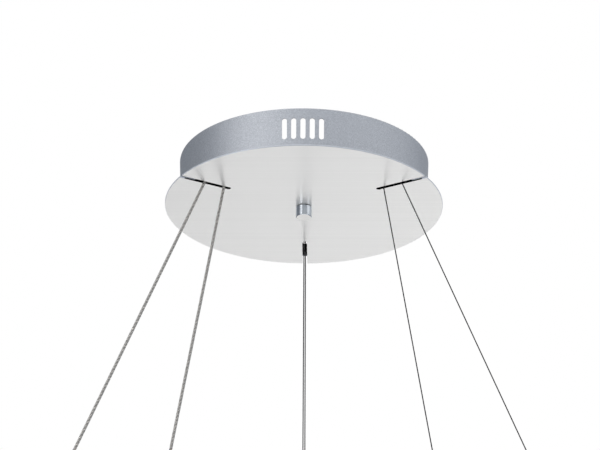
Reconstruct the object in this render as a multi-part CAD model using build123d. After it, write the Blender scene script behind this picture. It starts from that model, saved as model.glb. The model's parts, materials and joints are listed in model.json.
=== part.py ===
from build123d import *
import os
from math import cos, degrees, radians, sqrt, tan

# Ceiling canopy of a wire-hung ring chandelier, in millimetres. The ceiling is the plane z = 0 and the
# canopy hangs below it. The vents that face the room look towards -Y.

# Drum: the painted band round the side
drum_top_diameter = 270.0
drum_bottom_diameter = 266.0
drum_height = 50.0
drum_wall = 1.0
drum_lip = 6.0  # lip turned in against the ceiling
drum_bend = 1.2  # outer radius of the lip's bend

# Vents in the drum, one group facing the room and one opposite
vent_width = 5.4
vent_length = 24.0
vent_pitch = 9.8  # along the wall
vent_count = 5
vent_below_ceiling = 11.5
vent_azimuths = (270.0, 90.0)

# Cover disc under the drum, with a slot open at the rim for each pair of lines
cover_diameter = 300.0
cover_thickness = 1.5
cover_edge = 0.3
slot_width = 5.2
slot_run_in = 8.4  # slot's end to the inner line of the pair
slot_azimuths = {"left": 210.0, "right": 330.0, "far": 90.0}

# Chassis tray: the floor inside the drum
tray_sheet = 1.2
tray_rise = 10.0  # floor's upper face above the drum's bottom edge
tray_skirt = 8.0
tray_gap = 0.1

# Lines: where a pair crosses the cover's underside, and how far each leans out and may lean
line_inset = 11.7  # outer line to the drum's bottom edge
pair_spacing = 22.9
pair_stagger = 0.7  # each line of a pair to its own side of the slot's middle
splay = {"outer": 23.0, "inner": 10.2}
least_splay = {"outer": 16.5, "inner": 0.0}
most_splay = {"outer": 30.0, "inner": 15.5}
line_depth = {"outer": 390.0, "inner": 368.0}  # ceiling to the end fitting
cable_diameter = 3.2
wire_diameter = 1.3

# Eye terminals and the pins that they swing on
pin_diameter = 4.0
pin_running_gap = 0.05
pin_head_diameter = 7.0
pin_head_height = 1.5
pin_tip = 2.2  # pin past the far leg of its channel
clip_height = 1.0
clip_diameter = 8.0
eye_wall = 3.0
eye_reach = 12.5  # pin's centre to the end of the shank
eye_lift = 1.5  # shank's end above the floor
eye_side_gap = 0.3
cable_shank_diameter = 5.6
wire_shank_diameter = 4.4

# Anchor channels: folded hat sections over the slots
channel_gap = 9.0
channel_sheet = 1.5
channel_flange = 9.0
channel_end = 13.0  # pin to the channel's end
channel_top_gap = 1.0  # eye to the web
rivet_diameter = 4.0
rivet_head_diameter = 8.0
rivet_head_height = 1.2
rivet_tail_diameter = 5.0
rivet_tail_height = 2.5
rivet_end = 7.0  # rivet to the channel's end
hole_gap = 0.15  # round every fastener
cut_past = 1.0  # cutters reach past the faces that they open

# End fittings, with the threaded stud or nose that a ring screws onto
nipple_height = 4.0
nipple_wall = 1.4
shoulder_height = 2.5
fitting_chamfer = 0.6
wire_barrel_diameter = 9.0
wire_barrel_length = 20.0
wire_stud_diameter = 6.0
wire_stud_length = 8.0
cable_barrel_diameter = 11.0
cable_barrel_length = 24.0
cable_nose_diameter = 8.0
cable_nose_length = 10.0
cable_nose_bore = 3.0

# Ceiling bar and the two studs that carry the tray
bar_width = 28.0
bar_thickness = 2.5
bar_end_gap = 10.0
bar_corner = 4.0
screw_spacing = 170.0
screw_slot_width = 5.5
screw_slot_length = 20.0
hanger_spacing = 90.0
hanger_diameter = 6.0
hanger_collar_diameter = 11.0
hanger_collar_height = 1.5
hanger_past_nut = 1.3
washer_diameter = 14.0
washer_height = 1.2
nut_flats = 10.0
nut_height = 5.0

# Cover stud, cap nut and washer in the middle
cover_stud_diameter = 6.0
cover_stud_past_nut = 1.5
cover_hole_gap = 0.4
cap_nut_diameter = 17.0
cap_nut_height = 12.0
cap_nut_chamfer = 0.5
cap_nut_end_wall = 2.0
cap_nut_stud_gap = 0.8
cover_washer_diameter = 14.0
cover_washer_height = 0.8

# LED drivers, one for each ring
driver_azimuths = {"left": 150.0, "right": 30.0}
driver_length = 100.0
driver_width = 40.0
driver_height = 22.0
driver_corner = 3.0
driver_edge = 1.2
driver_wall_gap = 8.0
driver_step_height = 10.0
driver_cap_length = 16.0
driver_cap_cord = 7.0
driver_ear_length = 9.0
driver_ear_width = 16.0
driver_ear_height = 2.5
driver_screw_diameter = 3.5
driver_screw_head_diameter = 7.0
driver_screw_head_height = 2.0
screw_below_tray = 3.0
screw_rounding = 0.6  # share of a pan head's height

# Mains terminal block, cord clamp and earth screw
block_poles = 3
block_pole_pitch = 11.0
block_width = 18.0
block_base_height = 7.0
block_height = 15.0
block_side = 9.0  # base past the outer poles, for its screws
block_pole_gap = 4.0
block_pole_corner = 1.0
block_ledge = 1.0  # base past the poles, front and back
block_distance = 64.0  # from the middle
block_entry_diameter = 3.4
block_screw_diameter = 3.6
block_screw_well = 5.0
block_screw_height = 3.0
clamp_length = 30.0
clamp_width = 9.0
clamp_sheet = 2.0
clamp_cord = 7.5
clamp_leg = 3.0  # straight leg under the arch
clamp_gap = 6.0  # block to clamp
clamp_screw_spacing = 21.5
earth_x = 42.0
earth_y = -34.0
earth_diameter = 4.0
earth_head_diameter = 8.0
earth_head_height = 2.4
earth_stand = 9.0  # screw above the floor
earth_nut_flats = 7.0
earth_nut_height = 3.2

# Levels and radii that follow from the sizes above
drum_bottom_z = -drum_height
tray_top_z = drum_bottom_z + tray_rise
tray_bottom_z = tray_top_z - tray_sheet
cover_bottom_z = drum_bottom_z - cover_thickness
anchor_z = tray_top_z + eye_reach + eye_lift
lip_inner_radius = drum_top_diameter / 2 - drum_lip
pin_radius = pin_diameter / 2
eye_radius = pin_radius + eye_wall
exit_radius = {"outer": drum_bottom_diameter / 2 - line_inset}
exit_radius["inner"] = exit_radius["outer"] - pair_spacing
anchor_radius = {
    which: exit_radius[which] - tan(radians(splay[which])) * (anchor_z - cover_bottom_z)
    for which in splay
}
stagger = {"outer": -pair_stagger, "inner": pair_stagger}
channel_start = anchor_radius["inner"] - channel_end
channel_stop = anchor_radius["outer"] + channel_end
channel_height = anchor_z + eye_radius + channel_top_gap + channel_sheet - tray_top_z
channel_half = channel_gap / 2 + channel_sheet
rivet_across = channel_half + channel_flange / 2


def drum_radius(z):
    """Outer radius of the tapered drum at a level."""
    share = -z / drum_height
    return drum_top_diameter / 2 * (1 - share) + drum_bottom_diameter / 2 * share


def inside_radius(z):
    """Radius of a piece that fits inside the drum at a level."""
    return drum_radius(z) - drum_wall - tray_gap


def turned(shape, azimuth):
    """A piece modelled along +X, turned about the middle to its azimuth."""
    return Rot(0, 0, azimuth) * shape


def spun(points):
    """A solid of revolution about Z from (radius, level) corners."""
    outline = Polyline(*[(r, 0, z) for r, z in points], close=True)
    return revolve(make_face(outline), Axis.Z)


def upright(diameter, low, high):
    """A cylinder about Z between two levels."""
    return Pos(0, 0, (low + high) / 2) * Cylinder(diameter / 2, high - low)


def washer(outer, inner, low, high):
    """A washer about Z between two levels."""
    return upright(outer, low, high) - upright(inner, low, high)


def hexagon(flats, bore, low, high):
    """A hexagon nut about Z between two levels."""
    blank = extrude(RegularPolygon(flats / 2, 6, major_radius=False), high - low)
    return Pos(0, 0, low) * blank - upright(bore, low, high)


def screw(shank, head, head_height, seat, tip):
    """A pan-head screw about Z, its head on the level seat and its point at tip."""
    head_solid = upright(head, seat, seat + head_height)
    rounded = fillet(head_solid.edges().group_by(Axis.Z)[-1], head_height * screw_rounding)
    return rounded + upright(shank, tip, seat)


def group(solids):
    """Separate solids that share one node."""
    return Compound(children=list(solids))


# Places that more than one piece needs
driver_half = driver_length / 2 + driver_ear_length
driver_outer = inside_radius(tray_top_z) - driver_wall_gap
driver_radius = sqrt(driver_outer**2 - driver_half**2) - driver_width / 2
driver_screw_y = driver_length / 2 + driver_ear_length / 2
driver_screw_spots = [
    (azimuth, side * driver_screw_y)
    for azimuth in driver_azimuths.values()
    for side in (-1, 1)
]
rivet_spots = [
    (azimuth, radius, side * rivet_across)
    for azimuth in slot_azimuths.values()
    for radius in (channel_start + rivet_end, channel_stop - rivet_end)
    for side in (-1, 1)
]
hanger_spots = [(side * hanger_spacing / 2, 0) for side in (-1, 1)]
block_length = block_poles * block_pole_pitch + 2 * block_side
clamp_y = -block_distance + block_width / 2 + clamp_gap + clamp_width / 2
clamp_spots = [(side * clamp_screw_spacing / 2, clamp_y) for side in (-1, 1)]
pole_spots = [
    ((i - (block_poles - 1) / 2) * block_pole_pitch, -block_distance)
    for i in range(block_poles)
]
block_screw_spots = [
    (side * (block_length - block_side) / 2, -block_distance) for side in (-1, 1)
]
line_kind = {"left": "cable", "right": "wire", "far": "wire"}
line_diameter = {"cable": cable_diameter, "wire": wire_diameter}


def drum_band():
    """Tapered band with its ceiling lip and two groups of vent slots."""
    top = drum_top_diameter / 2
    bottom = drum_bottom_diameter / 2
    outline = Polyline(
        (top, 0, 0),
        (bottom, 0, drum_bottom_z),
        (bottom - drum_wall, 0, drum_bottom_z),
        (drum_radius(-drum_wall) - drum_wall, 0, -drum_wall),
        (lip_inner_radius, 0, -drum_wall),
        (lip_inner_radius, 0, 0),
        close=True,
    )
    section = make_face(outline)
    bend = section.vertices().sort_by_distance((top, 0, 0))[0]
    band = revolve(fillet(bend, drum_bend), Axis.Z)
    middle = -vent_below_ceiling - vent_length / 2
    step = degrees(vent_pitch / drum_radius(middle))
    reach = 4 * drum_wall + drum_top_diameter / 2 - drum_bottom_diameter / 2
    face = Plane.YZ * Pos(0, middle) * SlotOverall(vent_length, vent_width, rotation=90)
    cutter = Pos(drum_radius(middle) - reach, 0, 0) * extrude(face, 2 * reach)
    cuts = [
        turned(cutter, azimuth + (i - (vent_count - 1) / 2) * step)
        for azimuth in vent_azimuths
        for i in range(vent_count)
    ]
    return band - cuts


def guide_slot(which):
    """The floor's slot for one line of a pair: as long as the line may lean."""
    low = anchor_radius[which] + tan(radians(least_splay[which])) * (anchor_z - tray_top_z)
    high = anchor_radius[which] + tan(radians(most_splay[which])) * (anchor_z - tray_bottom_z)
    face = SlotCenterToCenter(high - low, slot_width)
    cutter = extrude(face, tray_sheet + 2 * cut_past)
    return Pos((low + high) / 2, 0, tray_bottom_z - cut_past) * cutter


def tray_hole(diameter):
    """A cutter for a fastener's hole in the floor."""
    return upright(diameter + 2 * hole_gap, tray_bottom_z - cut_past, tray_top_z + cut_past)


def chassis_tray():
    """Floor with a skirt inside the drum, guide slots and every fastener's hole."""
    skirt_z = tray_top_z - tray_skirt
    tray = spun(
        [
            (0, tray_top_z),
            (inside_radius(tray_top_z), tray_top_z),
            (inside_radius(skirt_z), skirt_z),
            (inside_radius(skirt_z) - tray_sheet, skirt_z),
            (inside_radius(tray_bottom_z) - tray_sheet, tray_bottom_z),
            (0, tray_bottom_z),
        ]
    )
    cuts = [
        turned(guide_slot(which), azimuth)
        for azimuth in slot_azimuths.values()
        for which in splay
    ]
    cuts += [
        turned(Pos(radius, across, 0) * tray_hole(rivet_diameter), azimuth)
        for azimuth, radius, across in rivet_spots
    ]
    cuts += [
        turned(Pos(driver_radius, along, 0) * tray_hole(driver_screw_diameter), azimuth)
        for azimuth, along in driver_screw_spots
    ]
    cuts += [Pos(x, y, 0) * tray_hole(hanger_diameter) for x, y in hanger_spots]
    cuts += [Pos(x, y, 0) * tray_hole(driver_screw_diameter) for x, y in clamp_spots]
    cuts.append(tray_hole(cover_stud_diameter))
    cuts.append(Pos(earth_x, earth_y, 0) * tray_hole(earth_diameter))
    cuts += [Pos(x, y, 0) * tray_hole(driver_screw_diameter) for x, y in block_screw_spots]
    return tray - cuts


def cover_disc():
    """Disc with a hole for the stud and three slots open at the rim."""
    disc = upright(cover_diameter, cover_bottom_z, drum_bottom_z)
    disc = chamfer(disc.edges().filter_by(GeomType.CIRCLE), cover_edge)
    slot_start = exit_radius["inner"] - slot_run_in
    length = cover_diameter / 2 - slot_start + slot_width
    low = cover_bottom_z - cut_past
    slot = extrude(SlotOverall(length, slot_width), cover_thickness + 2 * cut_past)
    slot = Pos(slot_start + length / 2, 0, low) * slot
    hole = upright(cover_stud_diameter + 2 * cover_hole_gap, low, drum_bottom_z + cut_past)
    return disc - [hole] - [turned(slot, azimuth) for azimuth in slot_azimuths.values()]


washer_z = cover_bottom_z - cover_washer_height
cap_bore_z = washer_z - cap_nut_height + cap_nut_end_wall
cover_stud_tip_z = cap_bore_z + cap_nut_stud_gap


def cap_nut():
    """Plain cylinder with chamfered rims and a blind bore."""
    blank = upright(cap_nut_diameter, washer_z - cap_nut_height, washer_z)
    blank = chamfer(blank.edges().filter_by(GeomType.CIRCLE), cap_nut_chamfer)
    return blank - upright(cover_stud_diameter + 2 * pin_running_gap, cap_bore_z, washer_z)


def cover_stud_nuts():
    """Lock nuts above and below the floor."""
    bore = cover_stud_diameter
    above = hexagon(nut_flats, bore, tray_top_z, tray_top_z + nut_height)
    below = hexagon(nut_flats, bore, tray_bottom_z - nut_height, tray_bottom_z)
    return group([above, below])


def ceiling_bar():
    """Flat bar across the drum with a slotted screw hole near each end."""
    length = 2 * (lip_inner_radius - bar_end_gap)
    face = RectangleRounded(length, bar_width, bar_corner)
    slots = [
        Pos(side * screw_spacing / 2, 0) * SlotOverall(screw_slot_length, screw_slot_width)
        for side in (-1, 1)
    ]
    return Pos(0, 0, -bar_thickness) * extrude(face - slots, bar_thickness)


hanger_nut_z = tray_bottom_z - washer_height - nut_height


def hanger_stud():
    """Stud welded under the ceiling bar by its collar."""
    collar = upright(hanger_collar_diameter, -bar_thickness - hanger_collar_height, -bar_thickness)
    return collar + upright(hanger_diameter, hanger_nut_z - hanger_past_nut, -bar_thickness)


def anchor_channel():
    """Hat section over one slot, along +X, with its pin and rivet holes."""
    inner = channel_gap / 2
    flange = channel_half + channel_flange
    low = tray_top_z
    high = tray_top_z + channel_height
    outline = Polyline(
        (0, -flange, low),
        (0, -flange, low + channel_sheet),
        (0, -channel_half, low + channel_sheet),
        (0, -channel_half, high),
        (0, channel_half, high),
        (0, channel_half, low + channel_sheet),
        (0, flange, low + channel_sheet),
        (0, flange, low),
        (0, inner, low),
        (0, inner, high - channel_sheet),
        (0, -inner, high - channel_sheet),
        (0, -inner, low),
        close=True,
    )
    section = make_face(outline)
    length = channel_stop - channel_start
    hat = Pos(channel_start, 0, 0) * extrude(section, length, dir=(1, 0, 0))
    bends = hat.edges().filter_by(Axis.X).group_by(Axis.Z)[-1]
    hat = fillet(bends, channel_sheet)
    pin_hole = Rot(90, 0, 0) * Cylinder(pin_radius + pin_running_gap, 3 * flange)
    cuts = [Pos(anchor_radius[which], 0, anchor_z) * pin_hole for which in splay]
    rivet_top = low + channel_sheet + cut_past
    rivet_hole = upright(rivet_diameter + 2 * hole_gap, low - cut_past, rivet_top)
    cuts += [
        Pos(radius, off, 0) * rivet_hole
        for azimuth, radius, off in rivet_spots
        if azimuth == slot_azimuths["left"]
    ]
    return hat - cuts


def rivet():
    """Rivet through a channel's flange and the floor."""
    seat = tray_top_z + channel_sheet
    head = upright(rivet_head_diameter, seat, seat + rivet_head_height)
    tail = upright(rivet_tail_diameter, tray_bottom_z - rivet_tail_height, tray_bottom_z)
    return head + upright(rivet_diameter, tray_bottom_z, seat) + tail


def across(diameter, low, high):
    """A cylinder along Y between two distances from the slot's middle plane."""
    return Pos(0, (low + high) / 2, 0) * Rot(90, 0, 0) * Cylinder(diameter / 2, high - low)


def anchor_pin():
    """Headed pin through both legs of a channel, about the eye's centre."""
    head = across(pin_head_diameter, -channel_half - pin_head_height, -channel_half)
    return head + across(pin_diameter, -channel_half, channel_half + pin_tip)


def pin_clip():
    """Spring clip pressed on the pin's free end."""
    outside = across(clip_diameter, channel_half, channel_half + clip_height)
    return outside - across(pin_diameter, channel_half, channel_half + clip_height)


def eye_terminal(kind):
    """Swaged eye on a line's upper end, about the pin, with the line straight down."""
    shank = {"cable": cable_shank_diameter, "wire": wire_shank_diameter}[kind]
    half = channel_gap / 2 - eye_side_gap - pair_stagger
    eye = across(2 * eye_radius, -half, half) + upright(shank, -eye_reach, 0)
    return eye - across(pin_diameter + 2 * pin_running_gap, -half - cut_past, half + cut_past)


def line_length(which):
    """From the pin to the end fitting, along the line."""
    return (anchor_z + line_depth[which]) / cos(radians(splay[which]))


def end_fitting(kind, which):
    """Gripper on a line's lower end, with the stud or hollow nose that the ring takes."""
    barrel, long, stud, stud_length = {
        "cable": (cable_barrel_diameter, cable_barrel_length, cable_nose_diameter, cable_nose_length),
        "wire": (wire_barrel_diameter, wire_barrel_length, wire_stud_diameter, wire_stud_length),
    }[kind]
    nipple = line_diameter[kind] / 2 + nipple_wall
    top = -line_length(which)
    body = spun(
        [
            (0, top),
            (nipple, top),
            (nipple, top - nipple_height),
            (barrel / 2, top - nipple_height - shoulder_height),
            (barrel / 2, top - long + fitting_chamfer),
            (barrel / 2 - fitting_chamfer, top - long),
            (stud / 2, top - long),
            (stud / 2, top - long - stud_length + fitting_chamfer),
            (stud / 2 - fitting_chamfer, top - long - stud_length),
            (0, top - long - stud_length),
        ]
    )
    if kind == "cable":
        tip = top - long - stud_length
        body -= upright(cable_nose_bore, tip, tip + stud_length)
    return body


def line(kind, which):
    """A taut line from its eye terminal to its end fitting, straight down from the pin."""
    return upright(line_diameter[kind], -line_length(which), -eye_reach)


def hung(shape, side, which):
    """A piece of a line, leant out by its splay and set on its pin, to its side of the slot."""
    place = Pos(anchor_radius[which], stagger[which], anchor_z)
    leant = place * Rot(0, -splay[which], 0) * shape
    return turned(leant, slot_azimuths[side])


def driver_case():
    """Driver case along Y with a step for a terminal cap and a screw ear at each end."""
    body = Pos(0, 0, driver_height / 2) * Box(driver_width, driver_length, driver_height)
    body = fillet(body.edges().filter_by(Axis.Z), driver_corner)
    step_height = driver_height - driver_step_height
    step_z = driver_step_height + step_height / 2
    step = Box(driver_width, driver_cap_length, step_height)
    step_y = driver_length / 2 - driver_cap_length / 2
    body = body - [Pos(0, side * step_y, step_z) * step for side in (-1, 1)]
    body = fillet(body.edges().group_by(Axis.Z)[-1], driver_edge)
    ear = Box(driver_ear_width, driver_ear_length, driver_ear_height)
    ear_y = driver_length / 2 + driver_ear_length / 2
    ears = [Pos(0, side * ear_y, driver_ear_height / 2) * ear for side in (-1, 1)]
    hole = Cylinder(driver_screw_diameter / 2 + hole_gap, 3 * driver_ear_height)
    case = body + ears
    return case - [Pos(0, side * driver_screw_y, 0) * hole for side in (-1, 1)]


def driver_cap():
    """Terminal cap on the case's step at +Y, with a notch for its cord."""
    height = driver_height - driver_step_height
    cap = Box(driver_width, driver_cap_length, height)
    cap = Pos(0, driver_length / 2 - driver_cap_length / 2, driver_step_height + height / 2) * cap
    outer = cap.edges().filter_by(Axis.Z).group_by(Axis.Y)[-1]
    cap = fillet(outer, driver_corner)
    cap = fillet(cap.edges().group_by(Axis.Z)[-1], driver_edge)
    notch = Rot(90, 0, 0) * Cylinder(driver_cap_cord / 2, driver_cap_length)
    return cap - Pos(0, driver_length / 2, driver_step_height) * notch


def on_tray(shape, azimuth):
    """A driver's piece, set on the floor at its azimuth."""
    return turned(Pos(driver_radius, 0, tray_top_z) * shape, azimuth)


def terminal_block():
    """Row of poles on a base, with cord entries through them and screw wells from above."""
    base = Box(block_length, block_width, block_base_height)
    body = Pos(0, -block_distance, tray_top_z + block_base_height / 2) * base
    pole_height = block_height - block_base_height
    pole_z = tray_top_z + block_base_height + pole_height / 2
    pole_width = block_pole_pitch - block_pole_gap
    pole = Box(pole_width, block_width - 2 * block_ledge, pole_height)
    pole = fillet(pole.edges().filter_by(Axis.Z), block_pole_corner)
    poles = [Pos(x, y, pole_z) * pole for x, y in pole_spots]
    entry = Rot(90, 0, 0) * Cylinder(block_entry_diameter / 2, 2 * block_width)
    entries = [Pos(x, y, tray_top_z + block_base_height) * entry for x, y in pole_spots]
    top = tray_top_z + block_height
    well = upright(block_screw_diameter + 2 * hole_gap, top - block_screw_well, top + cut_past)
    wells = [
        Pos(x, y + side * block_width / 4, 0) * well for x, y in pole_spots for side in (-1, 1)
    ]
    hole = upright(driver_screw_diameter + 2 * hole_gap, tray_top_z - cut_past, top)
    holes = [Pos(x, y, 0) * hole for x, y in block_screw_spots]
    return body + poles - entries - wells - holes


def terminal_screws():
    """Clamping screws on the floors of the block's wells."""
    floor = tray_top_z + block_height - block_screw_well
    one = upright(block_screw_diameter, floor, floor + block_screw_height)
    return group(
        Pos(x, y + side * block_width / 4, 0) * one for x, y in pole_spots for side in (-1, 1)
    )


def cord_clamp():
    """Saddle over the supply cord's way in, with a foot for a screw each side."""
    outer = clamp_cord + 2 * clamp_sheet
    feet = Pos(0, 0, clamp_sheet / 2) * Box(clamp_length, clamp_width, clamp_sheet)
    legs = Pos(0, 0, clamp_leg / 2) * Box(outer, clamp_width, clamp_leg)
    arch = Pos(0, 0, clamp_leg) * Rot(90, 0, 0) * Cylinder(outer / 2, clamp_width)
    below = Pos(0, 0, -outer / 2) * Box(clamp_length, 2 * clamp_width, outer)
    way = Pos(0, 0, clamp_leg) * Rot(90, 0, 0) * Cylinder(clamp_cord / 2, 2 * clamp_width)
    gap = Pos(0, 0, clamp_leg / 2) * Box(clamp_cord, 2 * clamp_width, clamp_leg)
    hole = Cylinder(driver_screw_diameter / 2 + hole_gap, 4 * clamp_sheet)
    holes = [Pos(side * clamp_screw_spacing / 2, 0, 0) * hole for side in (-1, 1)]
    saddle = feet + legs + arch - below - way - gap - holes
    return Pos(0, clamp_y, tray_top_z) * saddle


def tray_screw(seat):
    """A pan-head screw into the floor with its head on the level seat."""
    return screw(
        driver_screw_diameter,
        driver_screw_head_diameter,
        driver_screw_head_height,
        seat,
        tray_bottom_z - screw_below_tray,
    )


def earth_screw():
    """Earth screw standing up through the floor, its head below."""
    head = upright(earth_head_diameter, tray_bottom_z - earth_head_height, tray_bottom_z)
    shank = upright(earth_diameter, tray_bottom_z, tray_top_z + earth_stand)
    return Pos(earth_x, earth_y, 0) * (head + shank)


def earth_nut():
    """Nut on the earth screw, down on the floor."""
    nut = hexagon(earth_nut_flats, earth_diameter, tray_top_z, tray_top_z + earth_nut_height)
    return Pos(earth_x, earth_y, 0) * nut


# Canopy
pieces = {
    "drum_band": drum_band(),
    "chassis_tray": chassis_tray(),
    "ceiling_bar": ceiling_bar(),
    "hanger_studs": group(Pos(x, y, 0) * hanger_stud() for x, y in hanger_spots),
    "hanger_washers": group(
        Pos(x, y, 0) * washer(washer_diameter, hanger_diameter, tray_bottom_z - washer_height, tray_bottom_z)
        for x, y in hanger_spots
    ),
    "hanger_nuts": group(
        Pos(x, y, 0) * hexagon(nut_flats, hanger_diameter, hanger_nut_z, hanger_nut_z + nut_height)
        for x, y in hanger_spots
    ),
    "cover_stud": upright(
        cover_stud_diameter, cover_stud_tip_z, tray_top_z + nut_height + cover_stud_past_nut
    ),
    "cover_stud_nuts": cover_stud_nuts(),
}

# Cover and its nut
pieces["cover_disc"] = cover_disc()
pieces["cover_washer"] = washer(
    cover_washer_diameter, cover_stud_diameter + 2 * cover_hole_gap, washer_z, cover_bottom_z
)
pieces["cap_nut"] = cap_nut()

# Anchors
for side, azimuth in slot_azimuths.items():
    pieces[f"anchor_channel_{side}"] = turned(anchor_channel(), azimuth)
pieces["channel_rivets"] = group(
    turned(Pos(radius, off, 0) * rivet(), azimuth) for azimuth, radius, off in rivet_spots
)
pin_spots = [(side, which) for side in slot_azimuths for which in splay]
for node, one in (("anchor_pins", anchor_pin()), ("pin_clips", pin_clip())):
    pieces[node] = group(
        turned(Pos(anchor_radius[which], 0, anchor_z) * one, slot_azimuths[side])
        for side, which in pin_spots
    )

# Lines
for side, which in pin_spots:
    kind = line_kind[side]
    pieces[f"eye_{side}_{which}"] = hung(eye_terminal(kind), side, which)
    pieces[f"{kind}_{side}_{which}"] = hung(line(kind, which), side, which)
    pieces[f"fitting_{side}_{which}"] = hung(end_fitting(kind, which), side, which)

# Electrics
for side, azimuth in driver_azimuths.items():
    caps = [driver_cap(), Rot(0, 0, 180) * driver_cap()]
    pieces[f"driver_{side}_case"] = on_tray(driver_case(), azimuth)
    pieces[f"driver_{side}_caps"] = group(on_tray(cap, azimuth) for cap in caps)
pieces["driver_screws"] = group(
    turned(Pos(driver_radius, along, 0) * tray_screw(tray_top_z + driver_ear_height), azimuth)
    for azimuth, along in driver_screw_spots
)
pieces["terminal_block"] = terminal_block()
pieces["terminal_screws"] = terminal_screws()
pieces["block_screws"] = group(
    Pos(x, y, 0) * tray_screw(tray_top_z + block_base_height) for x, y in block_screw_spots
)
pieces["cord_clamp"] = cord_clamp()
pieces["clamp_screws"] = group(
    Pos(x, y, 0) * tray_screw(tray_top_z + clamp_sheet) for x, y in clamp_spots
)
pieces["earth_screw"] = earth_screw()
pieces["earth_nut"] = earth_nut()

os.makedirs("parts", exist_ok=True)
for node, shape in pieces.items():
    export_step(shape, f"parts/{node}.step")

for which in splay:
    radius = round(anchor_radius[which], 3)
    length = round(line_length(which), 2)
    print(which, "line: anchor radius", radius, "and length from the pin", length)
print("anchor level", round(anchor_z, 3), "clamp at y", round(clamp_y, 3))
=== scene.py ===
# %% [markdown]
# # The ceiling canopy of a ring chandelier
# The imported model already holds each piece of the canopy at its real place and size. This lesson
# gives every piece its finish, lays the strands of the six taut lines, turns the screws, nuts and
# rivets, and sets a soft studio round it all. Lengths are metres, the ceiling is z = 0 and the
# canopy hangs below it.

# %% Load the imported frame
import json
import math

import bmesh
import bpy
from mathutils import Matrix, Vector


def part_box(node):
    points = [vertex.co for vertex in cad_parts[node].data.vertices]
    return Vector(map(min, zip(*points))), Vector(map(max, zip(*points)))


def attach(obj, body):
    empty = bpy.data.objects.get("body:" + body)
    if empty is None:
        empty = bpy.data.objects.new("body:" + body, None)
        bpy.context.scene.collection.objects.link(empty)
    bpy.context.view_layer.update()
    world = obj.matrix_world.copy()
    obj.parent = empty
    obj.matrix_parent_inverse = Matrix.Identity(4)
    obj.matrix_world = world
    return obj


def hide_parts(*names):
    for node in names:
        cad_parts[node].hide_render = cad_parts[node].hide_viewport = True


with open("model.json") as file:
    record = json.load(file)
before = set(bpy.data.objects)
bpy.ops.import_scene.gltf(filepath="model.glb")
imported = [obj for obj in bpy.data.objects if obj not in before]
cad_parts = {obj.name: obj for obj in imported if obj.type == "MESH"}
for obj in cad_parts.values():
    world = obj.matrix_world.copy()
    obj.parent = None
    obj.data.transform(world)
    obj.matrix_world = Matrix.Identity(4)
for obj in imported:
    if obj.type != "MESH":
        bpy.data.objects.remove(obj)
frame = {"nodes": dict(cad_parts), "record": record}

nodes = frame["nodes"]
scene = bpy.context.scene
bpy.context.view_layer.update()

# %% [markdown]
# ## The camera
# The canopy is looked up at from far below, through a long lens, so the cover's underside shows as a
# flat ellipse. A Track To constraint could point the camera; working its turn out from a direction
# is just as short and leaves nothing live in the scene. The aim point is where the middle of the
# picture falls: a little below and to the left of the cover's middle.

# %% Aim the camera
camera_distance = 3.6
camera_elevation = math.radians(-25.11)
camera_azimuth = math.radians(0.67)
camera_roll = math.radians(0.456)
aim_below = 0.0197
aim_left = 0.0042


def looking(along):
    """The turn of a camera that looks along a direction, with this camera's roll."""
    return along.to_track_quat("-Z", "Y").to_matrix() @ Matrix.Rotation(camera_roll, 3, "Z")


cover_face = Vector((0, 0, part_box("cover_disc")[0].z))
towards_camera = Vector((
    math.sin(camera_azimuth) * math.cos(camera_elevation),
    -math.cos(camera_azimuth) * math.cos(camera_elevation),
    math.sin(camera_elevation),
))
turn = looking(-towards_camera)
aim = cover_face - turn.col[0] * aim_left - turn.col[1] * aim_below
camera_data = bpy.data.cameras.new("camera")
camera_data.sensor_width = 36
camera_data.lens = 199.9
camera_data.clip_end = 50
camera = bpy.data.objects.new("camera", camera_data)
camera.location = cover_face + towards_camera * camera_distance
camera.rotation_euler = looking(aim - camera.location).to_euler()
scene.collection.objects.link(camera)
scene.camera = camera
scene.view_settings.view_transform = "Standard"
print("camera at", [round(c, 3) for c in camera.location])

# %% [markdown]
# ## Small helpers for node trees
# Shaders, the world and geometry trees are all graphs of nodes. They could be drawn by hand in the
# node editors; built in code, they come out the same on every run. A few calls cover it all: add a
# node, feed its sockets with numbers or with other nodes' outputs, and take its output onwards.

# %% Add a node and feed it
def give(tree, socket, value):
    """Links another node's output into the socket, or sets the socket's own value."""
    if isinstance(value, bpy.types.NodeSocket):
        tree.links.new(value, socket)
    else:
        socket.default_value = value


def add_node(tree, kind, inputs=None, **options):
    """Adds a node, sets its options, then feeds its inputs by name or number."""
    node = tree.nodes.new(kind)
    for option, value in options.items():
        setattr(node, option, value)
    for name, value in (inputs or {}).items():
        give(tree, node.inputs[name], value)
    return node


def output_of(tree, kind, inputs=None, **options):
    """The first output of a new node."""
    return add_node(tree, kind, inputs, **options).outputs[0]


print("helpers: give, add_node, output_of")

# %% Short names for the commonest nodes
def calc(tree, operation, *values):
    """One Math node's output."""
    return output_of(tree, "ShaderNodeMath", dict(enumerate(values)), operation=operation)


def remap(tree, value, low, high, to_low=0.0, to_high=1.0, shape="LINEAR"):
    """A Map Range node's output: value from low..high to to_low..to_high."""
    inputs = {"Value": value, "From Min": low, "From Max": high, "To Min": to_low, "To Max": to_high}
    return output_of(tree, "ShaderNodeMapRange", inputs, interpolation_type=shape)


def mix_colours(tree, factor, first, second):
    """A colour between first and second."""
    inputs = {0: factor, 6: first, 7: second}
    return add_node(tree, "ShaderNodeMix", inputs, data_type="RGBA").outputs[2]


def combined(tree, operation, inputs):
    """One Vector Math node's vector."""
    return output_of(tree, "ShaderNodeVectorMath", inputs, operation=operation)


def split(tree, place):
    """The X, Y and Z of a vector."""
    return add_node(tree, "ShaderNodeSeparateXYZ", {0: place}).outputs


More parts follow.
